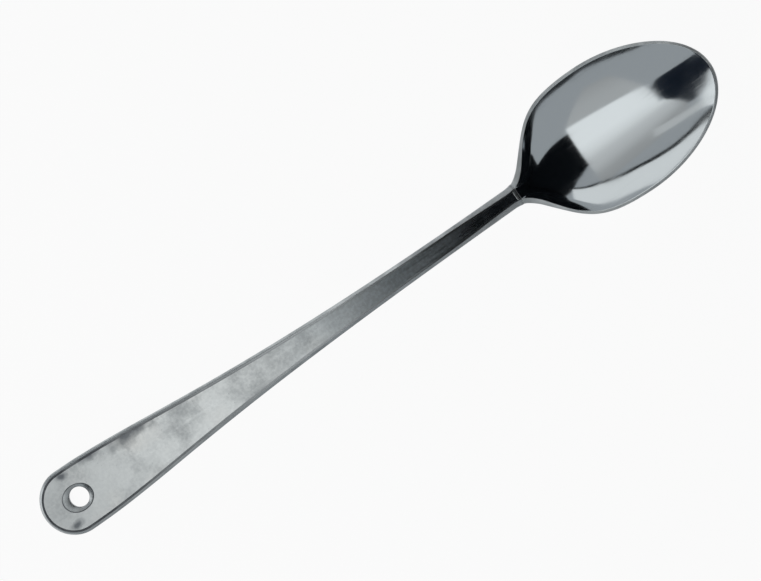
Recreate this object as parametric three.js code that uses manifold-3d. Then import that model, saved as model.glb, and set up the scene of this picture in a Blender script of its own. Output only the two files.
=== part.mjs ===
import * as THREE from 'three';
import { mergeVertices } from 'three/addons/utils/BufferGeometryUtils.js';
import Module from 'manifold-3d';

// A long-handled serving spoon: a pressed bowl, welded at its neck to a flat tapering handle.
// Millimetres, +Z up, X along the spoon with the bowl at +X. It lies as on a table at z = 0,
// on the back of its bowl and on the end of its tail.

// Handle, seen from above
const handleRun = 215.4; // tail end to weld
const tailWidth = 26.2;
const waistWidth = 8.2; // narrowest place, just behind the weld
const waistSetback = 5.5; // waist to weld
const neckWidth = 8.9; // at the weld
const tailShoulder = 41; // how far the tail keeps its width
const shankReach = 134; // how far the narrow shank keeps its width

// Handle, seen from the side
const tailThickness = 2.5;
const neckThickness = 3.8;
const archRun = 124; // bent stretch before the weld, the rest is straight
const tailSlope = THREE.MathUtils.degToRad(9.5); // climb of the straight stretch
const neckDip = THREE.MathUtils.degToRad(18); // fall towards the bowl at the weld

// Edges
const tailBevel = 1.2;
const neckBevel = 2;
const bevelRun = 30; // stretch before the weld where the bevel broadens
const rimBevel = 1;
const bevelPitch = 0.6; // fall of a bevel for each millimetre of its width
const backBevel = 0.5;

// Hanging hole, dished on the face of the tail
const holeDiameter = 8;
const holeSetback = 15.8; // tail end to the middle of the hole
const dishDiameter = 11.4;
const dishDepth = 0.7;

// Weld
const weldWidth = 0.8;

// Bowl, seen from above
const bowlLength = 83.8; // weld to tip
const bowlWidth = 54.2;
const bellySetback = 42; // weld to the widest place
const flareSetback = 6; // weld to the middle of the flare
const flareWidth = 18.2;
const throatRise = 0.3; // slope of the outline at the weld
const flareRise = 1.15; // slope of the outline at the flare
const throatArm = 1.6;
const cheekArm = 11;
const bellyArm = 22;
const frontFullness = 0.5; // roundness of the sides of its front
const tipFullness = 0.56; // roundness of its tip

// Bowl, seen from the side
const bowlWall = 1.2;
const tipHeight = 31;
const tipRise = THREE.MathUtils.degToRad(19); // climb of the rim at the tip
const rimEdge = 0.4; // upright edge under the bevel of the rim
const floorSetback = 22; // weld to the lowest place
const floorRadius = 60; // of the bottom line ahead of the lowest place
const heelRadius = 36; // of the bottom line behind it
const hollowSetback = 0.4; // weld to the start of the hollow
const heelRun = 14; // from the weld, where the thick heel thins to the rim
const turnRun = 19; // from the weld, where the rim turns from the dip of the neck

// Fineness of the surfaces
const curveSteps = 14;
const ringCount = 10;
const holeSegments = 48;

const overallLength = handleRun + weldWidth + bowlLength;
const tailX = -overallLength / 2;
const weldX = tailX + handleRun;
const bowlX = weldX + weldWidth;
const tailHalf = tailWidth / 2;
const waistHalf = waistWidth / 2;
const neckHalf = neckWidth / 2;
const flareHalf = flareWidth / 2;
const bellyHalf = bowlWidth / 2;
const waistRun = handleRun - waistSetback;
const straightRun = handleRun - archRun;
const climb = Math.tan(tailSlope);
const dip = Math.tan(neckDip);
const tailRest = (tailThickness / 2) * Math.cos(tailSlope) - backBevel * climb;
const weldFall = weldWidth * dip;

const { lerp, smoothstep } = THREE.MathUtils;
const vector2 = (x, y) => new THREE.Vector2(x, y);
const vector3 = (x, y, z) => new THREE.Vector3(x, y, z);

const wasm = await Module();
wasm.setup();

function toSolid(geometry) {
  const bare = geometry.clone();
  bare.deleteAttribute('normal');
  bare.deleteAttribute('uv');
  const merged = mergeVertices(bare);
  const triVerts = [];
  for (let i = 0; i < merged.index.count; i += 3) {
    const corners = [0, 1, 2].map((corner) => merged.index.getX(i + corner));
    if (new Set(corners).size === corners.length) triVerts.push(...corners);
  }
  return new wasm.Manifold(
    new wasm.Mesh({
      numProp: 3,
      vertProperties: merged.attributes.position.array,
      triVerts: new Uint32Array(triVerts),
    }),
  );
}

function toGeometry(solid) {
  const { vertProperties, triVerts } = solid.getMesh();
  const geometry = new THREE.BufferGeometry();
  geometry.setAttribute('position', new THREE.BufferAttribute(vertProperties, 3));
  geometry.setIndex(new THREE.BufferAttribute(triVerts, 1));
  geometry.computeVertexNormals();
  return geometry;
}

// Fills a loop that mirrors itself about the middle plane, with rungs from side to side.
function ladder(ring) {
  const faces = [];
  for (let i = 0, k = ring.length - 1; i + 1 < k; i += 1, k -= 1) {
    faces.push(ring[i], ring[i + 1], ring[k]);
    if (i + 2 < k) faces.push(ring[i + 1], ring[k - 1], ring[k]);
  }
  return faces;
}

// Joins loops of points, from the lowest on, into one closed skin. A loop of one point is a pole.
function skin(loops) {
  let number = 0;
  const rings = loops.map((loop) => loop.map(() => number++));
  const faces = [...ladder(rings[0]).reverse(), ...ladder(rings.at(-1))];
  for (let step = 1; step < rings.length; step += 1) {
    const lower = rings[step - 1];
    const upper = rings[step];
    const count = Math.max(lower.length, upper.length);
    for (let i = 0; i < count; i += 1) {
      const next = (i + 1) % count;
      const from = lower[i % lower.length];
      const to = upper[next % upper.length];
      if (lower.length > 1) faces.push(from, lower[next], to);
      if (upper.length > 1) faces.push(from, to, upper[i]);
    }
  }
  const geometry = new THREE.BufferGeometry().setFromPoints(loops.flat());
  geometry.setIndex(faces);
  geometry.computeVertexNormals();
  return geometry;
}

// Points along the curves, each with the direction to the right of the way they run.
function walk(curves) {
  return curves.flatMap((curve, index) => {
    const first = index === 0 ? 0 : 1;
    return Array.from({ length: curveSteps + 1 - first }, (_, i) => {
      const t = (i + first) / curveSteps;
      const ahead = curve.getTangent(t);
      return { point: curve.getPoint(t), right: vector2(ahead.y, -ahead.x) };
    });
  });
}

// Handle

const towardsNeck = (run) => smoothstep(run, straightRun, handleRun);
const handleThickness = (run) => lerp(tailThickness, neckThickness, towardsNeck(run));
const broadening = (run) => smoothstep(run, handleRun - bevelRun, handleRun);
const handleBevel = (run) => lerp(tailBevel, neckBevel, broadening(run));

// The middle of the bar climbs straight from the tail, then bends over an arch to the weld.
function handleHeight(run) {
  const bend = Math.max(0, run - straightRun) / archRun;
  return tailRest + climb * run - ((climb + dip) * archRun * bend * bend) / 2;
}

function onHandle(run, across, above) {
  const lean = tailSlope * (1 - towardsNeck(run));
  const x = run - above * Math.sin(lean);
  return vector3(x, across, handleHeight(run) + above * Math.cos(lean));
}

function handleOutline() {
  const throat = new THREE.CubicBezierCurve(
    vector2(handleRun, neckHalf),
    vector2(handleRun - throatArm, neckHalf - throatArm * throatRise),
    vector2(waistRun + throatArm, waistHalf),
    vector2(waistRun, waistHalf),
  );
  const side = new THREE.CubicBezierCurve(
    vector2(waistRun, waistHalf),
    vector2(waistRun - shankReach, waistHalf),
    vector2(tailHalf + tailShoulder, tailHalf),
    vector2(tailHalf, tailHalf),
  );
  const end = new THREE.EllipseCurve(tailHalf, 0, tailHalf, tailHalf, Math.PI / 2, Math.PI);
  const outline = walk([throat, side, end]);
  outline[0].right.set(0, 1); // square to the weld
  return outline;
}

// A closed loop round the bar, drawn in from its outline by inset and at its own height.
function handleLoop(outline, insetAt, heightAt) {
  const half = outline.map(({ point, right }) => {
    const inset = insetAt(point.x);
    const across = point.y - right.y * inset;
    return onHandle(point.x - right.x * inset, across, heightAt(point.x));
  });
  const mirrored = half.slice(0, -1).reverse();
  return [...half, ...mirrored.map((point) => vector3(point.x, -point.y, point.z))];
}

function hangingHole() {
  const hole = holeDiameter / 2;
  const dish = dishDiameter / 2;
  const face = tailThickness / 2;
  const cutter = new THREE.LatheGeometry(
    [
      vector2(0, -tailThickness),
      vector2(hole + backBevel, -tailThickness),
      vector2(hole + backBevel, -face),
      vector2(hole, backBevel - face),
      vector2(hole, face - dishDepth),
      vector2(dish, face),
      vector2(dish, tailThickness),
      vector2(0, tailThickness),
    ],
    holeSegments,
  );
  const middle = onHandle(holeSetback, 0, 0);
  return cutter.rotateX(Math.PI / 2).rotateY(-tailSlope).translate(middle.x, middle.y, middle.z);
}

function handleGeometry() {
  const outline = handleOutline();
  const half = (run) => handleThickness(run) / 2;
  const bar = skin([
    handleLoop(outline, () => backBevel, (run) => -half(run)),
    handleLoop(outline, () => 0, (run) => backBevel - half(run)),
    handleLoop(outline, () => 0, (run) => half(run) - bevelPitch * handleBevel(run)),
    handleLoop(outline, handleBevel, half),
  ]);
  return toGeometry(toSolid(bar).subtract(toSolid(hangingHole())));
}

// Weld

const neckMiddle = handleHeight(handleRun);
const neckTop = neckMiddle + neckThickness / 2 - weldFall; // where the bowl starts
const neckFlat = neckHalf - neckBevel;

function neckSection(x, middle) {
  const face = neckThickness / 2;
  const half = [
    vector3(x, neckHalf - backBevel, middle - face),
    vector3(x, neckHalf, middle - face + backBevel),
    vector3(x, neckHalf, middle + face - bevelPitch * neckBevel),
    vector3(x, neckFlat, middle + face),
  ];
  const mirrored = half.slice().reverse();
  return [...half, ...mirrored.map((point) => vector3(point.x, -point.y, point.z))];
}

function weldGeometry() {
  return skin([neckSection(0, neckMiddle), neckSection(weldWidth, neckMiddle - weldFall)]);
}

// Bowl

// The rim leaves the neck at the dip of the handle, turns level within the heel and climbs to the tip.
function rimHeight(x) {
  const arm = bowlLength / 3;
  const rim = new THREE.CubicBezierCurve(
    vector2(0, neckTop),
    vector2(arm, neckTop),
    vector2(bowlLength - arm, tipHeight - arm * Math.tan(tipRise)),
    vector2(bowlLength, tipHeight),
  );
  const left = 1 - Math.min(1, x / turnRun);
  return rim.getPoint(x / bowlLength).y - dip * x * left ** 3;
}

function bowlOutline() {
  const throat = new THREE.CubicBezierCurve(
    vector2(0, neckHalf),
    vector2(throatArm, neckHalf + throatArm * throatRise),
    vector2(flareSetback - throatArm, flareHalf - throatArm * flareRise),
    vector2(flareSetback, flareHalf),
  );
  const cheek = new THREE.CubicBezierCurve(
    vector2(flareSetback, flareHalf),
    vector2(flareSetback + cheekArm, flareHalf + cheekArm * flareRise),
    vector2(bellySetback - bellyArm, bellyHalf),
    vector2(bellySetback, bellyHalf),
  );
  const front = new THREE.CubicBezierCurve(
    vector2(bellySetback, bellyHalf),
    vector2(lerp(bellySetback, bowlLength, frontFullness), bellyHalf),
    vector2(bowlLength, bellyHalf * tipFullness),
    vector2(bowlLength, 0),
  );
  return walk([throat, cheek, front]);
}

// The rim at one place: its edge under the bevel, its outer corner and its inner corner.
function neckStation(across) {
  const drop = bevelPitch * Math.max(0, across - neckFlat);
  const rise = Math.max(0, across - (neckHalf - backBevel));
  return {
    back: vector3(0, across, neckTop - neckThickness + rise),
    outer: vector3(0, across, neckTop - drop),
    inner: vector3(hollowSetback, (across * neckFlat) / neckHalf, rimHeight(hollowSetback)),
  };
}

function rimStation({ point, right }) {
  const heel = 1 - smoothstep(point.x, 0, heelRun);
  const bevel = lerp(rimBevel, neckBevel, heel);
  const drop = bevelPitch * bevel;
  const heelEdge = neckThickness - bevelPitch * neckBevel - backBevel;
  const top = rimHeight(point.x);
  const inner = point.clone().addScaledVector(right, bevel);
  return {
    back: vector3(point.x, point.y, top - drop - lerp(rimEdge, heelEdge, heel)),
    outer: vector3(point.x, point.y, top - drop),
    inner: vector3(inner.x, inner.y, top),
  };
}

// The bottom line of a bowl's surface along the middle, through its floor to both ends of its edge.
function spineHeight(edge, base, x) {
  const ahead = x > floorSetback;
  const end = ahead ? edge[0] : edge.at(-1);
  const radius = (ahead ? floorRadius : heelRadius) + bowlWall - base;
  const share = (x - floorSetback) / (end.x - floorSetback);
  const sag = (end.x - floorSetback) ** 2 / (2 * radius);
  return base + sag * share ** 2 + (end.z - base - sag) * share ** 4;
}

// A bowl's surface between its bottom line and its edge, with a parabola across every section.
function bowlHeight(edge, base, x, y) {
  const behind = edge.findIndex((point) => point.x <= x);
  const near = edge[behind];
  const far = edge[behind - 1];
  const rim = near.clone().lerp(far, (x - near.x) / (far.x - near.x));
  const spine = spineHeight(edge, base, x);
  return spine + (rim.z - spine) * (y / rim.y) ** 2;
}

// Rings of a bowl's surface, from beside its lowest point out to its edge.
function bowlRings(edge, base) {
  const inside = Array.from({ length: ringCount - 1 }, (_, i) => {
    const share = (i + 1) / ringCount;
    return edge.map((point) => {
      const x = lerp(floorSetback, point.x, share);
      const y = point.y * share;
      return vector3(x, y, bowlHeight(edge, base, x, y));
    });
  });
  return [...inside, edge];
}

function bowlGeometry() {
  const neckLine = [0, neckFlat, neckHalf - backBevel].map(neckStation);
  const rim = [...neckLine, ...bowlOutline().map(rimStation)].reverse();
  const corners = (name) => rim.map((station) => station[name]);
  const loop = (half) => {
    const mirrored = half.slice(1, -1).reverse();
    return [...half, ...mirrored.map((point) => vector3(point.x, -point.y, point.z))];
  };
  const back = bowlRings(corners('back'), 0);
  const inside = bowlRings(corners('inner'), bowlWall);
  return skin([
    [vector3(floorSetback, 0, 0)],
    ...back.map(loop),
    loop(corners('outer')),
    ...inside.map(loop).reverse(),
    [vector3(floorSetback, 0, bowlWall)],
  ]);
}

// Assembly

const satinSteel = new THREE.MeshStandardMaterial({ color: 0xb4b8ba, metalness: 1, roughness: 0.38 });
const mirrorSteel = new THREE.MeshStandardMaterial({ color: 0xc2c6c8, metalness: 1, roughness: 0.1 });
const weldSteel = new THREE.MeshStandardMaterial({ color: 0xa4a8aa, metalness: 1, roughness: 0.28 });

const spoon = new THREE.Group();
spoon.name = 'serving_spoon';

function place(name, geometry, material, x) {
  const mesh = new THREE.Mesh(geometry, material);
  mesh.name = name;
  mesh.position.x = x;
  spoon.add(mesh);
}

place('handle', handleGeometry(), satinSteel, tailX);
place('neck_weld', weldGeometry(), weldSteel, weldX);
place('bowl', bowlGeometry(), mirrorSteel, bowlX);

export default spoon;
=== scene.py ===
import math

import bmesh
import bpy
import numpy as np
from mathutils import Matrix, Vector


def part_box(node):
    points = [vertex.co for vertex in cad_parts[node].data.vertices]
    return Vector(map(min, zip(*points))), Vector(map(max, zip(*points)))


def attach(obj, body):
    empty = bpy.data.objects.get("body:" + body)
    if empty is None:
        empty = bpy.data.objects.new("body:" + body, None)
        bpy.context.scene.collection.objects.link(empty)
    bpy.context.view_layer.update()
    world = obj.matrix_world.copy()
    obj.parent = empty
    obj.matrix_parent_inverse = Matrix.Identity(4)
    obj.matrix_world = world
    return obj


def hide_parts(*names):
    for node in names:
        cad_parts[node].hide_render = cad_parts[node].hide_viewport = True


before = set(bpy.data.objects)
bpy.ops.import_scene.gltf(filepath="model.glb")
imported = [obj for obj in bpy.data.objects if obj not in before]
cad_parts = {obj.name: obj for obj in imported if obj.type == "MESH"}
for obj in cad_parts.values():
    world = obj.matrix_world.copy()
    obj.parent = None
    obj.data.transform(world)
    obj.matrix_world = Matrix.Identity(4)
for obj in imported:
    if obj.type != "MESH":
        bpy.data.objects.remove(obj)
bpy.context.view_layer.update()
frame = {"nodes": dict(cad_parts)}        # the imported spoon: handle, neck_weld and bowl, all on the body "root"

weldStart, weldEnd = (corner.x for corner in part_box("neck_weld"))
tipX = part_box("bowl")[1].x
print("frame loaded:", ", ".join(frame["nodes"]))

# the third finish is dirt with painted shade, dark in the handle's groove and round the hole's dish
mainSlot, edgeSlot, dirtShadeSlot = 0, 1, 2  # places of the finishes on a piece
roundSteps = 3  # strips round a softened corner
mergeReach, sliverReach, mirrorReach = 1e-6, 5e-6, 1e-7  # for doubles, slivers and the middle line


# Working in edit mode

def deselectAll():
    if bpy.context.object and bpy.context.object.mode != "OBJECT":
        bpy.ops.object.mode_set(mode="OBJECT")
    bpy.ops.object.select_all(action="DESELECT")


def openPiece(name, places):  # a circle whose points lie on the given places, left in edit mode
    deselectAll()
    bpy.ops.mesh.primitive_circle_add(vertices=len(places))
    piece = bpy.context.object
    piece.name = name
    piece.data.name = name
    for vert, place in zip(piece.data.vertices, places):
        vert.co = place
    bpy.ops.object.mode_set(mode="EDIT")
    bpy.ops.mesh.select_mode(type="VERT")
    return piece


def handMesh():
    shape = bmesh.from_edit_mesh(bpy.context.object.data)
    shape.verts.index_update()
    shape.verts.ensure_lookup_table()
    return shape


def layLoop(places):  # one more circle in the mesh in hand, returns the numbers of its points
    bpy.ops.mesh.select_all(action="DESELECT")
    start = len(handMesh().verts)
    bpy.ops.mesh.primitive_circle_add(vertices=len(places))
    shape = handMesh()
    for number, place in enumerate(places):
        shape.verts[start + number].co = place
    bmesh.update_edit_mesh(bpy.context.object.data)
    return list(range(start, start + len(places)))


def layGrid(alongCount, acrossCount, placeAt):  # a grid, each point moved to its place
    bpy.ops.mesh.select_all(action="DESELECT")
    bpy.ops.mesh.primitive_grid_add(x_subdivisions=alongCount, y_subdivisions=acrossCount, size=2)
    for vert in handMesh().verts:
        if vert.select:
            vert.co = placeAt((vert.co.x + 1) / 2, (vert.co.y + 1) / 2)
    bmesh.update_edit_mesh(bpy.context.object.data)


def selectPoints(numbers):
    bpy.ops.mesh.select_all(action="DESELECT")
    shape = handMesh()
    for number in numbers:
        shape.verts[number].select_set(True)
    shape.select_flush(True)
    bmesh.update_edit_mesh(bpy.context.object.data)


def growLoop(last, places, finish):  # extrudes a loop of edges and moves its new points to their places
    selectPoints(last)
    bpy.ops.mesh.extrude_edges_indiv()
    shape = handMesh()
    fresh = []
    for number, place in zip(last, places):
        old = shape.verts[number]
        step = next(edge for edge in old.link_edges if edge.other_vert(old).select)
        for face in step.link_faces:
            face.material_index = finish
        vert = step.other_vert(old)
        vert.co = place
        fresh.append(vert.index)
    bmesh.update_edit_mesh(bpy.context.object.data)
    return fresh


def growLoops(last, loops, finishes=None):
    for places, finish in zip(loops, finishes or [mainSlot] * len(loops)):
        last = growLoop(last, places, finish)
    return last


def stripFinishes(corners, dirtShadeSpans=()):  # slots for the strips of a rounded line, dirt with painted shade from corner to corner
    step = roundSteps + 1
    finishes = [mainSlot] + [edgeSlot] * (corners * step - 1) + [mainSlot]
    for first, last in dirtShadeSpans:
        for strip in range(1 + first * step, (last + 1) * step):
            finishes[strip] = dirtShadeSlot
    return finishes


def between(first, second, cuts):  # loops that lead from one loop to another, the second included
    return [[start.lerp(end, step / (cuts + 1)) for start, end in zip(first, second)]
            for step in range(1, cuts + 2)]


def fillLoop(numbers):
    selectPoints(numbers)
    bpy.ops.mesh.edge_face_add()


def closePiece(keepSharp):  # merges the seams, turns the faces outwards and smooths them
    bpy.ops.mesh.select_all(action="SELECT")
    bpy.ops.mesh.remove_doubles(threshold=mergeReach)
    bpy.ops.mesh.dissolve_degenerate(threshold=sliverReach)
    bpy.ops.mesh.select_all(action="SELECT")
    bpy.ops.mesh.normals_make_consistent(inside=False)
    bpy.ops.object.mode_set(mode="OBJECT")
    bpy.ops.object.shade_smooth_by_angle(angle=keepSharp)


# Lines and curves

def smoothStep(value, low, high):
    share = min(1, max(0, (value - low) / (high - low)))
    return share * share * (3 - 2 * share)


def mix(low, high, share):
    return low + (high - low) * share


def bezierWalk(curves, steps):  # points along joined Bezier curves, each with the way ahead
    walk = []
    for number, knots in enumerate(curves):
        a, b, c, d = (Vector(knot) for knot in knots)
        for step in range(1 if number else 0, steps + 1):
            t = step / steps
            s = 1 - t
            place = a * s**3 + b * 3 * s * s * t + c * 3 * s * t * t + d * t**3
            ahead = (b - a) * s * s + (c - b) * 2 * s * t + (d - c) * t * t
            walk.append((place, ahead.normalized()))
    return walk


def roundedLine(corners, reach):  # a line with its inner corners rounded over the reach
    line = [corners[0]]
    for before, corner, after in zip(corners, corners[1:], corners[2:]):
        start = corner + (before - corner).normalized() * reach
        end = corner + (after - corner).normalized() * reach
        for step in range(roundSteps + 1):
            t = step / roundSteps
            line.append(start.lerp(corner, t).lerp(corner.lerp(end, t), t))
    line.append(corners[-1])
    return line


def closedLoop(half, rungCount=1):  # a half loop on the +Y side, its mirror image and the rung back
    mirrored = [Vector((place.x, -place.y, place.z)) for place in reversed(half)
                if abs(place.y) > mirrorReach]
    rung = [mirrored[-1].lerp(half[0], step / rungCount) for step in range(1, rungCount)]
    return [*half, *mirrored, *rung]


# Handle: a flat bar that climbs from the tail, bends over an arch and dips to the weld

handleSize = {
    "run": 0.2154,  # tail end to weld
    "tailWidth": 0.0262,
    "waistWidth": 0.0082,
    "waistSetback": 0.0055,
    "neckWidth": 0.0089,
    "tailShoulder": 0.041,  # how far the tail keeps its width
    "shankReach": 0.134,  # how far the shank keeps its width
    "throatArm": 0.0016,
    "throatRise": 0.3,
    "tailThickness": 0.0025,
    "neckThickness": 0.0038,
    "archRun": 0.124,
    "tailSlope": math.radians(9.5),
    "neckDip": math.radians(18),
    "tailBevel": 0.0012,
    "neckBevel": 0.002,
    "bevelRun": 0.030,  # where the bevel broadens, before the weld
    "bevelPitch": 0.6,
    "backBevel": 0.0005,
    "groove": 0.0006,  # coined line inside the bevel
    "grooveDepth": 0.00013,
    "grooveEnd": (0.028, 0.045),  # where it runs out, before the weld
    "softEdge": 0.00014,
    "flatMargin": 0.0005,
    "outlineSteps": 72,
    "acrossCount": 16,
    "keepSharp": math.radians(40),
}

holeSize = {
    "setback": 0.0158,  # tail end to its middle
    "radius": 0.0039,
    "dishAlong": 0.0063,
    "dishAcross": 0.0052,
    "dishShift": -0.0004,  # towards the tail end
    "dishDepth": 0.0007,
    "backChamfer": 0.0005,
    "softEdge": 0.0003,
    "patchRun": 0.034,  # the tail end that is meshed round the hole
    "patchCuts": 7,
}

tailX = weldStart - handleSize["run"]
straightRun = handleSize["run"] - handleSize["archRun"]
climb = math.tan(handleSize["tailSlope"])
dip = math.tan(handleSize["neckDip"])
neckHalf = handleSize["neckWidth"] / 2
neckFlat = neckHalf - handleSize["neckBevel"]  # half the flat between the bevels
tailRest = (handleSize["tailThickness"] / 2 * math.cos(handleSize["tailSlope"])
            - handleSize["backBevel"] * climb)


def towardsNeck(run):
    return smoothStep(run, straightRun, handleSize["run"])


def handleThickness(run):
    return mix(handleSize["tailThickness"], handleSize["neckThickness"], towardsNeck(run))


def handleBevel(run):
    broad = smoothStep(run, handleSize["run"] - handleSize["bevelRun"], handleSize["run"])
    return mix(handleSize["tailBevel"], handleSize["neckBevel"], broad)


def handleHeight(run):
    bend = max(0, run - straightRun) / handleSize["archRun"]
    return tailRest + climb * run - (climb + dip) * handleSize["archRun"] * bend * bend / 2


def onHandle(run, across, above):
    lean = handleSize["tailSlope"] * (1 - towardsNeck(run))
    return Vector((tailX + run - above * math.sin(lean), across,
                   handleHeight(run) + above * math.cos(lean)))


def handleOutline():  # half the outline, from the weld to the middle of the tail end
    size = handleSize
    tailHalf, waistHalf = size["tailWidth"] / 2, size["waistWidth"] / 2
    waistRun = size["run"] - size["waistSetback"]
    arm = size["throatArm"]
    roundArm = tailHalf * (math.sqrt(2) - 1) * 4 / 3  # for a quarter circle
    throat = ((size["run"], neckHalf), (size["run"] - arm, neckHalf - arm * size["throatRise"]),
              (waistRun + arm, waistHalf), (waistRun, waistHalf))
    side = ((waistRun, waistHalf), (waistRun - size["shankReach"], waistHalf),
            (tailHalf + size["tailShoulder"], tailHalf), (tailHalf, tailHalf))
    end = ((tailHalf, tailHalf), (tailHalf - roundArm, tailHalf), (0, roundArm), (0, 0))
    outline = [(place, Vector((ahead.y, -ahead.x)))
               for place, ahead in bezierWalk((throat, side, end), size["outlineSteps"])]
    outline[0] = (outline[0][0], Vector((0, 1)))  # square to the weld
    return outline


def handleSection(run):  # inset and height, from the flat back round the edge to the flat face
    half = handleThickness(run) / 2
    bevel = handleBevel(run)
    back = handleSize["backBevel"]
    margin = handleSize["flatMargin"]
    groove = handleSize["groove"]
    depth = handleSize["grooveDepth"] * smoothStep(handleSize["run"] - run, *handleSize["grooveEnd"])
    corners = [(back + margin, -half), (back, -half), (0, back - half),
               (0, half - handleSize["bevelPitch"] * bevel), (bevel, half),
               (bevel + groove / 2, half - depth), (bevel + groove, half), (bevel + groove + margin, half)]
    return roundedLine([Vector(corner) for corner in corners], handleSize["softEdge"])


def holeRings(angles):  # from the face through the dish and the hole to the back
    half = handleSize["tailThickness"] / 2
    hole, back = holeSize["radius"], holeSize["backChamfer"]
    margin = handleSize["flatMargin"]
    along, across, shift = holeSize["dishAlong"], holeSize["dishAcross"], holeSize["dishShift"]
    corners = [(along + margin, across + margin, half, shift), (along, across, half, shift),
               (hole, hole, half - holeSize["dishDepth"], 0), (hole, hole, back - half, 0),
               (hole + back, hole + back, -half, 0), (hole + back + margin, hole + back + margin, -half, 0)]
    rings = []
    for ring in roundedLine([Vector(corner) for corner in corners], holeSize["softEdge"]):
        middle = holeSize["setback"] + ring.w
        rings.append([onHandle(middle + ring.x * math.cos(angle), ring.y * math.sin(angle), ring.z)
                      for angle in angles])
    return rings


def makeHandle():
    outline = handleOutline()
    sections = [handleSection(place.x) for place, outward in outline]

    def flatPlaces(level):  # run, across and height of one line round the edge
        return [Vector((*(place - outward * section[level].x), section[level].y))
                for (place, outward), section in zip(outline, sections)]

    count = handleSize["acrossCount"]
    levels = range(len(sections[0]))
    edge = [closedLoop([onHandle(*place) for place in flatPlaces(level)], count) for level in levels]
    piece = openPiece("spoon_handle", edge[0])
    finishes = stripFinishes(6, ((3, 5),))  # dirt and painted shade sit in the groove
    growLoops(list(range(len(edge[0]))), edge[1:], finishes)

    patch = next(number for number, (place, outward) in enumerate(outline)
                 if place.x < holeSize["patchRun"])
    tailLoops = []
    for level in (-1, 0):  # the flat face, then the flat back
        flat = flatPlaces(level)

        def rung(along, across):
            place = flat[round(along * patch)]
            return onHandle(place.x, place.y * (1 - 2 * across), place.z)

        layGrid(patch, count, rung)
        tailLoops.append(closedLoop(flat[patch:], count))
    angles = [math.atan2(place.y, place.x - holeSize["setback"]) for place in tailLoops[0]]
    rings = holeRings(angles)
    face, back = ([onHandle(*place) for place in loop] for loop in tailLoops)
    cuts = holeSize["patchCuts"]
    loops = [*between(face, rings[0], cuts), *rings[1:], *between(rings[-1], back, cuts)]
    plain = [mainSlot] * (cuts + 1)
    finishes = stripFinishes(4, ((0, 0), (1, 1)))  # and dirt with painted shade at both edges of the dish
    growLoops(layLoop(face), loops, plain + finishes + plain)
    closePiece(handleSize["keepSharp"])
    return piece


# Weld: a low bead across the neck, ground down but still proud

weldSize = {
    "beadHeight": 0.00014,
    "overlap": 0.00015,  # how far the bead laps over each side
    "sunk": 0.00004,  # of the bead's two edges
    "bow": 0.0004,  # towards the handle, in the middle
    "acrossCount": 12,
    "rounds": (-1, -0.85, -0.5, 0, 0.5, 0.85, 1),  # sections, from the handle's side to the bowl's
    "crownPower": 4,
    "beadNormal": 0.5,  # faces that look up further than this get the finish of the bead
    "keepSharp": math.radians(20),
}


def makeWeld():
    size = handleSize
    half = size["neckThickness"] / 2
    back = size["backBevel"]
    middle = (weldStart + weldEnd) / 2
    count = weldSize["acrossCount"]
    under = [(neckHalf - back, -half), (neckHalf, back - half)]
    top = [(neckHalf, half - size["bevelPitch"] * size["neckBevel"])]
    top += [(neckFlat * (count - step) / count, half) for step in range(count + 1)]

    def section(share):
        places = []
        for across, above in [*under, *top]:
            crown = 0  # none on the flanks
            if above == half:
                crown = 1 - min(1, across / neckFlat) ** weldSize["crownPower"]
            reach = (weldEnd - weldStart) / 2 + weldSize["overlap"] * crown
            x = middle + share * reach - weldSize["bow"] * crown
            bead = (weldSize["beadHeight"] * (1 - share * share) - weldSize["sunk"] * share * share) * crown
            z = handleHeight(size["run"]) + above - dip * (x - weldStart) + bead
            places.append(Vector((x, across, z)))
        return closedLoop(places)

    loops = [section(share) for share in weldSize["rounds"]]
    piece = openPiece("spoon_weld", loops[0])
    first = list(range(len(loops[0])))
    last = growLoops(first, loops[1:])
    fillLoop(first)
    fillLoop(last)
    closePiece(weldSize["keepSharp"])
    return piece


# Bowl: a pressed shell, thick at the heel, with a bevelled rim

bowlSize = {
    "width": 0.0542,
    "bellySetback": 0.042,  # weld to the widest place
    "flareSetback": 0.006,
    "flareWidth": 0.0182,
    "flareRise": 1.15,
    "cheekArm": 0.011,
    "bellyArm": 0.022,
    "frontFullness": 0.5,
    "tipFullness": 0.56,
    "wall": 0.0012,
    "tipHeight": 0.031,
    "tipRise": math.radians(19),
    "rimBevel": 0.001,
    "rimEdge": 0.0004,
    "floorSetback": 0.022,  # weld to the lowest place
    "floorRadius": 0.060,  # of the bottom line ahead of it
    "heelRadius": 0.036,  # and behind it
    "hollowSetback": 0.0004,
    "heelRun": 0.014,
    "turnRun": 0.019,
    "softEdge": 0.00017,
    "neckSoftEdge": 0.00002,
    "outlineSteps": 44,
    "neckSteps": 5,
    "insideCuts": 90,
    "backCuts": 50,
    "floorShare": 0.02,
    "rimStrip": 0.0004,  # last strip of the surfaces inside the rim
    "meetPower": 7,
    "edgePower": 6,
    "fitDegree": 5,  # of the smooth curve that the sections follow
    "fitEnds": (0.012, 0.003),  # left out of the fit, at the weld and at the tip
    "heelBlend": (0.008, 0.018),  # from the weld, where the fit takes over
    "tipBlend": (0.008, 0.004),  # before the tip, where it reaches the edge too
    "keepSharp": math.radians(40),
}

bowlLength = tipX - weldEnd
neckTop = (handleHeight(handleSize["run"]) + handleSize["neckThickness"] / 2
           - (weldEnd - weldStart) * dip)


def rimHeight(x):
    arm = bowlLength / 3
    t = x / bowlLength
    s = 1 - t
    end = bowlSize["tipHeight"]
    low = end - arm * math.tan(bowlSize["tipRise"])
    left = max(0, 1 - x / bowlSize["turnRun"])
    return neckTop * (s**3 + 3 * s * s * t) + low * 3 * s * t * t + end * t**3 - dip * x * left**3


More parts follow.
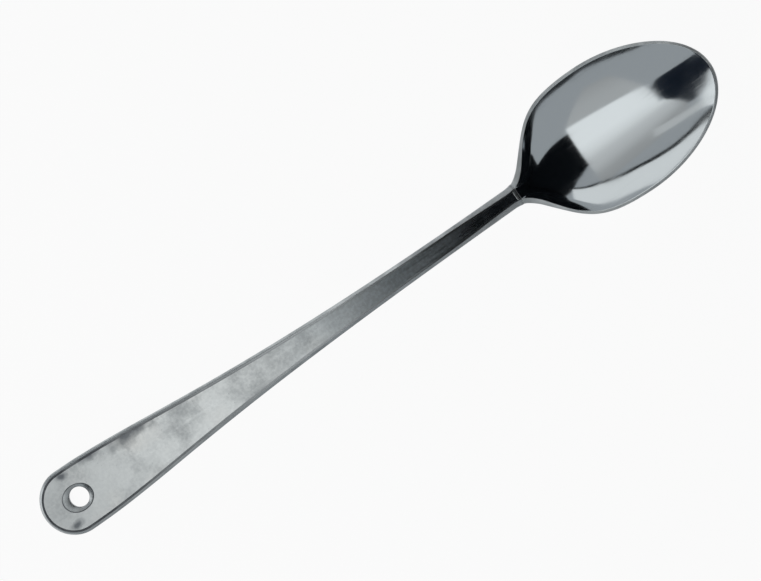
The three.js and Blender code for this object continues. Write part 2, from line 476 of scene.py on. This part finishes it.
def bowlOutline():  # half the outline, from the weld to the tip, with the way inwards
    size = bowlSize
    flareHalf, bellyHalf = size["flareWidth"] / 2, size["width"] / 2
    arm, cheek, belly = handleSize["throatArm"], size["cheekArm"], size["bellySetback"]
    flare = size["flareSetback"]
    throat = ((0, neckHalf), (arm, neckHalf + arm * handleSize["throatRise"]),
              (flare - arm, flareHalf - arm * size["flareRise"]), (flare, flareHalf))
    cheekLine = ((flare, flareHalf), (flare + cheek, flareHalf + cheek * size["flareRise"]),
                 (belly - size["bellyArm"], bellyHalf), (belly, bellyHalf))
    full = size["frontFullness"]
    front = ((belly, bellyHalf), (mix(belly, bowlLength, full), bellyHalf),
             (bowlLength, bellyHalf * size["tipFullness"]), (bowlLength, 0))
    return [(place, Vector((ahead.y, -ahead.x)))
            for place, ahead in bezierWalk((throat, cheekLine, front), size["outlineSteps"])]


def neckStation(across):  # back, outer and inner corner of the edge, at the weld
    fall = handleSize["bevelPitch"] * max(0, across - neckFlat)
    lift = max(0, across - (neckHalf - handleSize["backBevel"]))
    hollow = bowlSize["hollowSetback"]
    return (Vector((0, across, neckTop - handleSize["neckThickness"] + lift)),
            Vector((0, across, neckTop - fall)),
            Vector((hollow, across * neckFlat / neckHalf, rimHeight(hollow))))


def rimStation(place, inward):  # the same three corners along the rim
    pitch = handleSize["bevelPitch"]
    heel = 1 - smoothStep(place.x, 0, bowlSize["heelRun"])
    bevel = mix(bowlSize["rimBevel"], handleSize["neckBevel"], heel)
    heelEdge = handleSize["neckThickness"] - pitch * handleSize["neckBevel"] - handleSize["backBevel"]
    top = rimHeight(place.x)
    outer = top - pitch * bevel
    return (Vector((*place, outer - mix(bowlSize["rimEdge"], heelEdge, heel))),
            Vector((*place, outer)),
            Vector((*(place + inward * bevel), top)))


class BowlSurface:  # heights between a bottom line and an edge, one parabola across every section
    def __init__(self, edge, base):
        self.neck, self.tip = edge[0], edge[-1]
        self.base = base
        places = edge[bowlSize["neckSteps"] + 1:-2]
        self.xs = [place.x for place in places]
        self.halves = [place.y for place in places]
        self.exact = [(place.z - self.spine(place.x)) / place.y**2 for place in places]
        heelEnd, tipEnd = bowlSize["fitEnds"]
        main = [(x, curve) for x, curve in zip(self.xs, self.exact) if heelEnd < x < self.tip.x - tipEnd]
        self.fit = np.polyfit(*zip(*main), bowlSize["fitDegree"])

    def spine(self, x):
        floor = bowlSize["floorSetback"]
        end, radius = (self.tip, "floorRadius") if x > floor else (self.neck, "heelRadius")
        share = (x - floor) / (end.x - floor)
        sag = (end.x - floor) ** 2 / (2 * (bowlSize[radius] + bowlSize["wall"] - self.base))
        return self.base + sag * share**2 + (end.z - self.base - sag) * share**4

    def height(self, x, y):
        exact = np.interp(x, self.xs, self.exact)
        edgeShare = min(1, abs(y) / np.interp(x, self.xs, self.halves)) ** bowlSize["edgePower"]
        keep = max(1 - smoothStep(x, *bowlSize["heelBlend"]), edgeShare)
        keep *= 1 - smoothStep(x, *(self.tip.x - reach for reach in bowlSize["tipBlend"]))
        curve = mix(np.polyval(self.fit, x), exact, keep)
        return self.spine(x) + curve * y * y


def makeBowl():
    size = bowlSize
    floor = Vector((size["floorSetback"], 0))
    neckLine = [neckStation(neckHalf * step / size["neckSteps"]) for step in range(size["neckSteps"])]
    stations = [*neckLine, *(rimStation(*station) for station in bowlOutline())]
    stations[-1] = tuple(Vector((place.x, 0, place.z)) for place in stations[-1])
    surfaces = {
        "inside": BowlSurface([station[2] for station in stations], size["wall"]),
        "back": BowlSurface([station[0] for station in stations], 0),
    }

    def onSurface(name, place, share):  # part of the way from the floor to the edge, which it meets
        x, y = mix(floor.x, place.x, share), place.y * share
        short = place.z - surfaces[name].height(place.x, place.y)
        return Vector((x, y, surfaces[name].height(x, y) + short * share ** size["meetPower"]))

    def edgeShare(place):
        return 1 - size["rimStrip"] / (place.xy - floor).length

    lines = []
    for number, (back, outer, inner) in enumerate(stations):
        corners = [onSurface("inside", inner, edgeShare(inner)), inner, outer, back,
                   onSurface("back", back, edgeShare(back))]
        soft = size["neckSoftEdge"] if number < size["neckSteps"] else size["softEdge"]
        lines.append(roundedLine(corners, soft))
    shift = Vector((weldEnd, 0, 0))
    rim = [closedLoop([line[level] + shift for line in lines]) for level in range(len(lines[0]))]
    piece = openPiece("spoon_bowl", rim[0])
    first = list(range(len(rim[0])))
    last = growLoops(first, rim[1:], stripFinishes(3))
    sides = (("inside", first, 2, size["insideCuts"]), ("back", last, 0, size["backCuts"]))
    for name, edge, corner, cuts in sides:
        places = [station[corner] for station in stations]
        loops = []
        for step in np.linspace(1, 0, cuts)[1:]:
            shares = [mix(size["floorShare"], edgeShare(place), step) for place in places]
            loops.append(closedLoop([onSurface(name, place, share) + shift
                                     for place, share in zip(places, shares)]))
        fillLoop(growLoops(edge, loops))
    closePiece(size["keepSharp"])
    return piece


# Finishes

class Finish:  # one material, its nodes laid from Object coordinates to the shader
    def __init__(self, name, colour, roughness):
        self.material = bpy.data.materials.new(name)
        self.material.use_nodes = True
        self.nodes = self.material.node_tree.nodes
        self.shader = self.nodes["Principled BSDF"]
        self.shader.inputs["Metallic"].default_value = 1
        self.shader.inputs["Base Color"].default_value = (*colour, 1)
        self.shader.inputs["Roughness"].default_value = roughness
        self.place = self.add("ShaderNodeTexCoord").outputs["Object"]

    def add(self, kind, links=None, values=None, **settings):
        node = self.nodes.new(kind)
        for name, value in settings.items():
            setattr(node, name, value)
        for name, value in (values or {}).items():
            node.inputs[name].default_value = value
        for name, socket in (links or {}).items():
            self.material.node_tree.links.new(socket, node.inputs[name])
        return node

    def drive(self, name, socket):
        self.material.node_tree.links.new(socket, self.shader.inputs[name])

    def mapped(self, middle=(0, 0, 0), turn=0, scale=(1, 1, 1)):
        values = {"Location": middle, "Rotation": (0, 0, turn), "Scale": scale}
        return self.add("ShaderNodeMapping", {"Vector": self.place}, values).outputs[0]

    def noise(self, scale, detail, place=None):
        links = {"Vector": place or self.place}
        return self.add("ShaderNodeTexNoise", links, {"Scale": scale, "Detail": detail}).outputs["Fac"]

    def ranged(self, socket, low, high, start, end):
        values = {"From Min": low, "From Max": high, "To Min": start, "To Max": end}
        return self.add("ShaderNodeMapRange", {"Value": socket}, values).outputs[0]

    def together(self, operation, first, second):
        return self.add("ShaderNodeMath", {0: first, 1: second}, operation=operation).outputs[0]

    def blend(self, share, first, second):
        node = self.add("ShaderNodeMix", {"Factor": share}, data_type="RGBA")
        for number, colour in ((6, first), (7, second)):
            if isinstance(colour, tuple):
                node.inputs[number].default_value = (*colour, 1)
            else:
                self.material.node_tree.links.new(colour, node.inputs[number])
        return node.outputs[2]

    def lengthwise(self, low, high, start, end):  # a value that changes along the spoon
        along = self.add("ShaderNodeSeparateXYZ", {"Vector": self.place}).outputs["X"]
        return self.ranged(along, low, high, start, end)

    def fromOval(self, middle, turn, length, width):  # 0 in the middle of an oval and 1 on its line
        place = self.add("ShaderNodeVectorMath", {0: self.place}, {1: (*middle, 0)}, operation="SUBTRACT")
        values = {"Rotation": (0, 0, -turn), "Scale": (1 / length, 1 / width, 0)}
        oval = self.add("ShaderNodeMapping", {"Vector": place.outputs[0]}, values)
        return self.add("ShaderNodeVectorMath", {0: oval.outputs[0]}, operation="LENGTH").outputs["Value"]

    def scratches(self, turns, density, stretch, low, fade):  # thin lines, laid in a few directions
        worn = None
        for turn in turns:
            place = self.mapped(turn=turn, scale=(density / stretch, density, density / stretch))
            lines = self.ranged(self.noise(1, 1, place), low, low + fade, 0, 1)
            worn = lines if worn is None else self.together("ADD", worn, lines)
        return worn

    def roughened(self, socket, low, high, look):  # roughness between the two ends of its spread
        ends = (look["roughness"] + spread for spread in look["roughSpread"])
        self.drive("Roughness", self.ranged(socket, low, high, *ends))

    def bump(self, height, depth):
        node = self.add("ShaderNodeBump", {"Height": height}, {"Strength": 1, "Distance": depth})
        self.drive("Normal", node.outputs[0])


mirrorLook = {
    "colour": (0.66, 0.69, 0.71),
    "roughness": 0.07,
    "wipedRoughness": 0.15,
    "haze": (70, 4),  # scale and detail, as for every noise here
    "hazeRange": (0.4, 0.75),
    "wave": (45, 1),
    "waveDepth": 0.00003,
    "scratchTurns": (0.3, 1.2, 2.2),
    "scratches": (2600, 60, 0.66, 0.06),  # density, stretch, where a line starts and how it fades
    "scratchRoughness": 0.05,
}


def mirrorSteel():
    look = mirrorLook
    finish = Finish("mirrorSteel", look["colour"], look["roughness"])
    haze = finish.ranged(finish.noise(*look["haze"]), *look["hazeRange"],
                         look["roughness"], look["wipedRoughness"])
    worn = finish.scratches(look["scratchTurns"], *look["scratches"])
    scratched = finish.ranged(worn, 0, 1, 0, look["scratchRoughness"])
    finish.drive("Roughness", finish.together("ADD", haze, scratched))
    finish.bump(finish.noise(*look["wave"]), look["waveDepth"])
    return finish.material


satinLook = {
    "dull": (0.50, 0.515, 0.52),
    "bright": (0.71, 0.725, 0.725),
    "warm": (0.70, 0.695, 0.68),
    "speckle": (0.34, 0.355, 0.365),
    "smudge": (0.09, 0.10, 0.115),
    "roughness": 0.40,
    "neckPolish": (0.026, 0.056, 0.16),  # x from, x to and how much smoother the neck is
    "tailWear": (-0.15, -0.095, 1.0),  # x from, x to and how dull the tail end is
    # painted reflection: the handle's colour turns darker and bluish towards the neck, standing in for the dark
    # navy surroundings it mirrors there
    "neckReflection": (0.51, 0.57, 0.61),
    "neckReflectionReach": (-0.045, 0.01, 0.8),  # x from, x to and how far the painted reflection colour goes at the neck
    "clouds": (75, 5),
    "cloudRange": (0.30, 0.56),
    "cloudRough": (0.3, 0.7, 0.05),  # from, to and how much rougher or smoother the clouds are
    "warmth": (48, 2),
    "warmPlace": (0.3, 0.1, 0),
    "warmRange": (0.5, 0.7, 0, 0.8),
    "speckles": (800, 5),
    "speckleRange": (0.42, 0.60, 0.5, 0),
    "patchRange": (0.36, 0.58, 0.8, 0.25),  # speckles lie in the dull clouds
    "neckPatches": (0.2, 1),  # and all over the neck
    "grain": (520, 3),
    "grainDepth": 0.000012,
    "pitScale": 700,
    "pitRange": (0.05, 0.16, 0.4, 0),
    "pitGrain": (0.5, 0.6),
    "scratchTurns": (-0.25, 0.6, 1.9),
    "scratches": (1500, 40, 0.64, 0.06),
    "scratchPolish": 0.07,
    "scratchDepth": -0.6,  # against the grain's height
    "ragged": (260, 4),
    "raggedRange": (0.3, 0.7, -0.35, 0.35),
    "smudgeFade": (0.1, 1.1, 0.85, 0),
    "smudges": (  # middle, turn, half length, half width
        ((-0.1035, 0.0098), -0.07, 0.0135, 0.0048),
        ((-0.1357, 0.0103), 0.2, 0.003, 0.0018),
        ((-0.1411, -0.0084), 0.7, 0.0042, 0.0018),
        ((-0.1225, 0.0108), -0.05, 0.006, 0.0018),
    ),
}


def satinSteel():
    look = satinLook
    finish = Finish("satinSteel", look["bright"], look["roughness"])
    cloud = finish.noise(*look["clouds"])
    colour = finish.blend(finish.ranged(cloud, *look["cloudRange"], 0, 1), look["dull"], look["bright"])
    low, high, wear = look["tailWear"]
    colour = finish.blend(finish.lengthwise(low, high, wear, 0), colour, look["dull"])
    warmth = finish.noise(*look["warmth"], finish.mapped(middle=look["warmPlace"]))
    colour = finish.blend(finish.ranged(warmth, *look["warmRange"]), colour, look["warm"])
    # painted reflection, darker and bluish towards the neck
    low, high, reflectionShare = look["neckReflectionReach"]
    colour = finish.blend(finish.lengthwise(low, high, 0, reflectionShare), colour, look["neckReflection"])

    speckle = finish.ranged(finish.noise(*look["speckles"]), *look["speckleRange"])
    patches = finish.together("MAXIMUM", finish.ranged(cloud, *look["patchRange"]),
                              finish.lengthwise(low, high, *look["neckPatches"]))
    colour = finish.blend(finish.together("MULTIPLY", speckle, patches), colour, look["speckle"])
    pits = finish.add("ShaderNodeTexVoronoi", {"Vector": finish.place}, {"Scale": look["pitScale"]})
    pitted = finish.ranged(pits.outputs["Distance"], *look["pitRange"])
    grain = finish.noise(*look["grain"])
    pitted = finish.together("MULTIPLY", pitted, finish.ranged(grain, *look["pitGrain"], 0, 1))
    colour = finish.blend(pitted, colour, look["smudge"])
    ragged = finish.ranged(finish.noise(*look["ragged"]), *look["raggedRange"])
    for smudge in look["smudges"]:
        far = finish.together("ADD", finish.fromOval(*smudge), ragged)
        colour = finish.blend(finish.ranged(far, *look["smudgeFade"]), colour, look["smudge"])
    finish.drive("Base Color", colour)

    worn = finish.scratches(look["scratchTurns"], *look["scratches"])
    low, high, spread = look["cloudRough"]
    rough = finish.ranged(cloud, low, high, look["roughness"] + spread, look["roughness"] - spread)
    low, high, polish = look["neckPolish"]
    rough = finish.together("SUBTRACT", rough, finish.lengthwise(low, high, 0, polish))
    polished = finish.ranged(worn, 0, 1, 0, look["scratchPolish"])
    finish.drive("Roughness", finish.together("SUBTRACT", rough, polished))
    cut = finish.ranged(worn, 0, 1, 0, look["scratchDepth"])
    finish.bump(finish.together("ADD", grain, cut), look["grainDepth"])
    return finish.material


edgeLook = {
    "colour": (0.55, 0.57, 0.58),
    "tarnish": (0.40, 0.42, 0.43),
    "roughness": 0.24,
    "roughSpread": (-0.04, 0.08),  # clean and tarnished
    "rimDulled": (0.0, 0.05, 0.20),  # x from, x to and how much rougher the neck and the rim are
    "tarnishing": (160, 4),
    "tarnishRange": (0.4, 0.7),
    "nicks": (900, 2),
    "nickDepth": 0.00001,
}


def edgeSteel():
    look = edgeLook
    finish = Finish("edgeSteel", look["colour"], look["roughness"])
    tarnish = finish.ranged(finish.noise(*look["tarnishing"]), *look["tarnishRange"], 0, 1)
    finish.drive("Base Color", finish.blend(tarnish, look["colour"], look["tarnish"]))
    rough = finish.ranged(tarnish, 0, 1, *(look["roughness"] + spread for spread in look["roughSpread"]))
    low, high, dulled = look["rimDulled"]
    finish.drive("Roughness", finish.together("ADD", rough, finish.lengthwise(low, high, 0, dulled)))
    finish.bump(finish.noise(*look["nicks"]), look["nickDepth"])
    return finish.material


# Dirt and painted shade: a near-black colour laid into the groove and the edges of the hole's dish, where shade
# falls
dirtShadeLook = {
    "clean": (0.52, 0.54, 0.55),
    "dirtShade": (0.10, 0.105, 0.115),
    "roughness": 0.42,
    "roughSpread": (-0.12, 0.1),  # clean, and dirty with painted shade
    "reach": (-0.125, -0.01),  # x where the dirt and painted shade thin out towards the neck
    "patches": (90, 4),
    "patchRange": (0.35, 0.55, 0.7, 1),
}


def dirtShadeSteel():
    look = dirtShadeLook
    finish = Finish("dirtShadeSteel", look["dirtShade"], look["roughness"])
    thick = finish.ranged(finish.noise(*look["patches"]), *look["patchRange"])
    share = finish.together("MULTIPLY", thick, finish.lengthwise(*look["reach"], 1, 0))
    finish.drive("Base Color", finish.blend(share, look["clean"], look["dirtShade"]))
    finish.roughened(share, 0, 1, look)
    return finish.material


weldLook = {
    "colour": (0.60, 0.62, 0.63),
    "heat": (0.48, 0.46, 0.42),  # faint straw tint left by the heat
    "heatRange": (0.45, 0.75),
    "roughness": 0.36,
    "roughSpread": (-0.06, 0.08),  # low and high on the ripples
    "ripples": (1400, 3),
    "rippleRange": (0.3, 0.7),
    "rippleDepth": 0.00002,
}


def weldSteel():
    look = weldLook
    finish = Finish("weldSteel", look["colour"], look["roughness"])
    ripple = finish.noise(*look["ripples"])
    heat = finish.ranged(ripple, *look["heatRange"], 0, 1)
    finish.drive("Base Color", finish.blend(heat, look["colour"], look["heat"]))
    finish.roughened(ripple, *look["rippleRange"], look)
    finish.bump(ripple, look["rippleDepth"])
    return finish.material


def dress(piece, node, finishes):
    for finish in finishes:
        piece.data.materials.append(finish)
    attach(piece, "root")
    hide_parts(node)
    print("made", piece.name, len(piece.data.polygons), "faces")


edgeFinish = edgeSteel()
handle = makeHandle()
dress(handle, "handle", [satinSteel(), edgeFinish, dirtShadeSteel()])
weld = makeWeld()
dress(weld, "neck_weld", [weldSteel(), edgeFinish])
for face in weld.data.polygons:
    onBead = abs(face.center.y) < neckFlat and face.normal.z > weldSize["beadNormal"]
    face.material_index = mainSlot if onBead else edgeSlot
bowl = makeBowl()
dress(bowl, "bowl", [mirrorSteel(), edgeFinish])


# Camera, above the spoon and a little to its +Y side

cameraSize = {
    "target": (0.0033, -0.0005, 0.008),
    "distance": 0.9,
    "tiltAcross": math.radians(2),
    "turn": math.radians(34.65),  # the spoon's rise to the right in the picture
    "lens": 113.44,
    "clipStart": 0.01,
}


def makeCamera():
    size = cameraSize
    back = Vector((0, math.tan(size["tiltAcross"]), 1)).normalized()
    up = Vector((math.sin(size["turn"]), math.cos(size["turn"]), 0))
    up = (up - back * up.dot(back)).normalized()
    turned = Matrix((up.cross(back), up, back)).transposed().to_4x4()
    deselectAll()
    bpy.ops.object.camera_add()
    camera = bpy.context.object
    camera.data.lens = size["lens"]
    camera.data.clip_start = size["clipStart"]
    place = Vector(size["target"]) + back * size["distance"]
    camera.matrix_world = Matrix.Translation(place) @ turned
    bpy.context.scene.camera = camera


makeCamera()
print("camera set")


# Studio: white table, a large soft panel overhead, a side panel, and cards for the metal to mirror

studioSize = {
    "middle": (0.11, 0, 0.01),  # places are given from here, in the bowl
    "world": (0.37, 0.395, 0.41),
    "ceiling": 0.9,
    "panelCorners": ((-0.13, 1.1), (-0.13, -0.68), (-0.40, -1.2), (-0.9, -2.2), (-1.46, -2.2),
                     (-1.46, 0.05), (-2.3, 0.35), (-2.3, 1.1)),
    "panelGlow": ((-2.2, 0.40), (-1.1, 0.49), (-0.70, 0.50), (-0.64, 1.0), (-0.10, 1.0), (0.10, 0.88),
                  (0.30, 0.66), (0.52, 0.57), (0.78, 0.42), (1.1, 0.38)),  # y and glow there
    "panelTint": (0.97, 1.0, 1.0),
    "sideY": 1.0,
    "sideLine": ((-1.6, 0.27), (-1.1, 0.265), (-0.85, 0.335), (-0.6, 0.46), (-0.4, 0.59), (-0.2, 0.765),
                 (-0.05, 0.87), (0.25, 0.945), (0.6, 1.0), (0.9, 1.05)),
    "sideFoot": ((0.74, 0.45), (0.49, 0.41), (0.07, 0.35), (-0.20, 0.28), (-0.6, 0.13), (-1.6, 0.03)),
    "sideGlow": 0.85,
    "lineWidth": 0.09,  # dark card along the upper edge of the side panel
    "lineGap": 0.01,
    "tailX": -0.9,
    "tailCorners": ((-0.30, 0.23), (-0.10, 0.20), (0.0, 0.20), (0.03, 0.243), (0.10, 0.258), (0.20, 0.27),
                    (0.33, 0.315), (0.33, 0.36), (0.18, 0.44), (0.08, 0.51), (-0.09, 0.55), (-0.28, 0.54),
                    (-0.36, 0.45)),
    "tipLight": ((0.01, 0.02), (0.60, 0.02), (0.52, 0.255), (0.42, 0.275), (0.33, 0.29), (0.20, 0.266),
                 (0.10, 0.254), (0.035, 0.238)),
    "tailLight": ((0.38, 0.22), (0.50, 0.22), (0.75, 0.72), (0.55, 0.72)),
    "tailGlow": 0.58,
    "tipGlow": 1.0,
    "darkCorners": ((-0.13, 0.36), (-0.13, -0.52), (0.75, -0.60), (1.4, -1.5), (1.4, 1.62)),
    "wallX": 1.4,
    "wallCorners": ((-1.5, 0.9), (1.62, 0.9), (1.62, 0.19), (0.8, 0.24), (0.6, 0.41), (-0.6, 0.41),
                    (-0.8, 0.24), (-1.5, 0.19)),
    "rimLight": ((-1.4, 0.02), (1.4, 0.02), (1.4, 0.17), (0.8, 0.22), (0.6, 0.40), (-0.6, 0.40),
                 (-0.8, 0.22), (-1.4, 0.17)),  # under the dark wall, for the rim at the tip
    "rimGlow": 1.0,
    "farY": -1.0,
    "lowCorners": ((-1.2, -0.01), (1.2, -0.01), (1.2, 0.60), (0.8, 0.33), (0.5, 0.27), (0.25, 0.24),
                   (-0.2, 0.20), (-0.6, 0.12), (-1.2, 0.08)),
    "dark": (0.008, 0.010, 0.013),
    "low": (0.07, 0.075, 0.08),
    "navy": (0.018, 0.026, 0.042),
    "cardRoughness": 0.9,
    "tableWidth": 8,
    "tableColour": (0.93, 0.93, 0.93),
    "tableRoughness": 0.8,
    "floorGlow": 0.93,
}


def fromMiddle(*place):
    return Vector(studioSize["middle"]) + Vector(place)


def makeCard(name, corners, finish):
    deselectAll()
    bpy.ops.mesh.primitive_circle_add(vertices=len(corners), fill_type="NGON")
    card = bpy.context.object
    card.name = name
    for vert, corner in zip(card.data.vertices, corners):
        vert.co = corner
    card.data.materials.append(finish)
    card.visible_camera = False
    card.visible_shadow = False


def glowFinish(name, glow, ramp=None):  # a soft light, its strength along y from the ramp
    finish = bpy.data.materials.new(name)
    finish.use_nodes = True
    nodes, links = finish.node_tree.nodes, finish.node_tree.links
    nodes.remove(nodes["Principled BSDF"])
    light = nodes.new("ShaderNodeEmission")
    light.inputs["Color"].default_value = (*studioSize["panelTint"], 1)
    light.inputs["Strength"].default_value = glow
    if ramp:
        low, high = ramp[0][0], ramp[-1][0]
        place = nodes.new("ShaderNodeTexCoord")
        axes = nodes.new("ShaderNodeSeparateXYZ")
        share = nodes.new("ShaderNodeMapRange")
        share.inputs["From Min"].default_value, share.inputs["From Max"].default_value = low, high
        steps = nodes.new("ShaderNodeFloatCurve")
        curve = steps.mapping.curves[0]
        points = [((y - low) / (high - low), value) for y, value in ramp]
        curve.points[0].location, curve.points[1].location = points[0], points[-1]
        for point in points[1:-1]:
            curve.points.new(*point)
        for point in curve.points:
            point.handle_type = "VECTOR"
        steps.mapping.update()
        links.new(place.outputs["Object"], axes.inputs[0])
        links.new(axes.outputs["Y"], share.inputs["Value"])
        links.new(share.outputs[0], steps.inputs["Value"])
        links.new(steps.outputs[0], light.inputs["Strength"])
    links.new(light.outputs[0], nodes["Material Output"].inputs["Surface"])
    return finish


def plainFinish(name, colour):
    finish = bpy.data.materials.new(name)
    finish.use_nodes = True
    shader = finish.node_tree.nodes["Principled BSDF"]
    shader.inputs["Base Color"].default_value = (*colour, 1)
    shader.inputs["Roughness"].default_value = studioSize["cardRoughness"]
    shader.inputs["Specular IOR Level"].default_value = 0
    return finish


def tableFinish():  # white where it is seen, with the spoon's shadow left in
    finish = bpy.data.materials.new("tableWhite")
    finish.use_nodes = True
    nodes, links = finish.node_tree.nodes, finish.node_tree.links
    shader = nodes["Principled BSDF"]
    shader.inputs["Base Color"].default_value = (*studioSize["tableColour"], 1)
    shader.inputs["Roughness"].default_value = studioSize["tableRoughness"]
    path = nodes.new("ShaderNodeLightPath")
    seen = path.outputs["Is Camera Ray"]
    for ray in ("Is Glossy Ray", "Is Transmission Ray"):
        either = nodes.new("ShaderNodeMath")
        either.operation = "MAXIMUM"
        links.new(seen, either.inputs[0])
        links.new(path.outputs[ray], either.inputs[1])
        seen = either.outputs[0]
    share = nodes.new("ShaderNodeMath")
    share.operation = "MULTIPLY"
    share.inputs[1].default_value = studioSize["floorGlow"]
    links.new(seen, share.inputs[0])
    glow = nodes.new("ShaderNodeEmission")
    both = nodes.new("ShaderNodeMixShader")
    links.new(share.outputs[0], both.inputs["Fac"])
    links.new(shader.outputs[0], both.inputs[1])
    links.new(glow.outputs[0], both.inputs[2])
    links.new(both.outputs[0], nodes["Material Output"].inputs["Surface"])
    return finish


def makeStudio():
    size = studioSize
    scene = bpy.context.scene
    scene.view_settings.view_transform = "Standard"
    scene.world = bpy.data.worlds.new("studio")
    scene.world.use_nodes = True
    background = scene.world.node_tree.nodes["Background"]
    background.inputs["Color"].default_value = (*size["world"], 1)

    deselectAll()
    bpy.ops.mesh.primitive_plane_add(size=size["tableWidth"])
    table = bpy.context.object
    table.name = "table"
    table.data.materials.append(tableFinish())

    def flatCard(name, corners, finish, axis, level):  # square to the axis, at that level
        number = "xyz".index(axis)
        makeCard(name, [fromMiddle(*corner[:number], level, *corner[number:]) for corner in corners], finish)

    dark = plainFinish("darkCard", size["dark"])
    line = size["sideLine"]
    upper = [(x, z + size["lineWidth"]) for x, z in reversed(line)]
    panelFinish = glowFinish("panelGlow", 1, size["panelGlow"])
    sideFinish = glowFinish("sideGlow", size["sideGlow"])
    flatCard("panel", size["panelCorners"], panelFinish, "z", size["ceiling"])
    flatCard("sidePanel", [*line[:-1], *size["sideFoot"]], sideFinish, "y", size["sideY"])
    flatCard("lineCard", [*line, *upper], dark, "y", size["sideY"] - size["lineGap"])
    flatCard("ceilingCard", size["darkCorners"], dark, "z", size["ceiling"])
    flatCard("wallCard", size["wallCorners"], dark, "x", size["wallX"])
    flatCard("tailCard", size["tailCorners"], plainFinish("navyCard", size["navy"]), "x", size["tailX"])
    flatCard("lowCard", size["lowCorners"], plainFinish("lowCard", size["low"]), "y", size["farY"])
    for name, glow, level in (("rimLight", "rimGlow", "wallX"), ("tailLight", "tailGlow", "tailX"),
                              ("tipLight", "tipGlow", "tailX")):
        flatCard(name, size[name], glowFinish(glow, size[glow]), "x", size[level])


makeStudio()
print("studio set")
